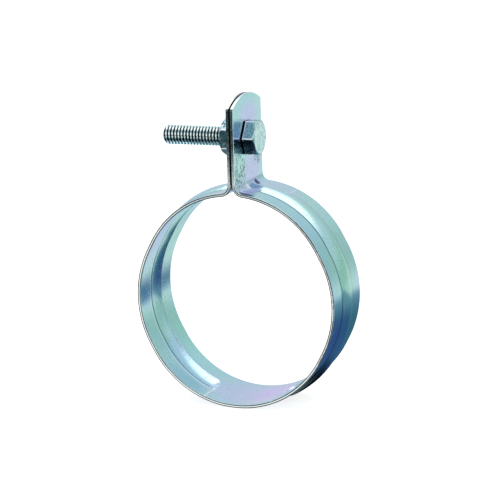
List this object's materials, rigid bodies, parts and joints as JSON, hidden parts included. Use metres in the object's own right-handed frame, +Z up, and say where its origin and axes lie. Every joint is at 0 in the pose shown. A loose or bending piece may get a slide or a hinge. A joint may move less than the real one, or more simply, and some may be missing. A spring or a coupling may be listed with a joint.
{
  "type": "pipe hanger",
  "caption": "Plated steel pipe hanger: one pressed band with a raised rib, bent up into two ears that a hex bolt and nut draw together round a pipe.",
  "frame": {"origin": "on the axis of the pipe that the band holds, half-way along the band's width", "axes": "+Y along the pipe, away from the picture's viewer; +Z up from the pipe to the ears; +X along the bolt, towards its head"},
  "size_m": [0.0646, 0.0234, 0.0933],
  "materials": {
    "band_plating": "bright zinc plate with a pale blue, green and violet passivated film",
    "bolt_plating": "bright zinc plate, pale blue-green",
    "nut_plating": "bright zinc plate, pale blue-green"
  },
  "bodies": {
    "band": {"pipe_band": "band_plating"},
    "bolt": {"hex_bolt": "bolt_plating"},
    "nut": {"hex_nut": "nut_plating"}
  },
  "joints": [
    {"name": "bolt_turn", "type": "hinge", "parent": "band", "child": "bolt", "pos_m": [0, 0, 0.04765], "axis": [1, 0, 0], "range_deg": [0, 6840]},
    {"name": "nut_travel", "type": "slide", "parent": "band", "child": "nut", "axis": [-1, 0, 0], "range_m": [0, 0.019]}
  ],
  "couplings": [
    {"joint": "nut_travel", "follows": "bolt_turn", "m_per_rad": 0.00015915}
  ]
}
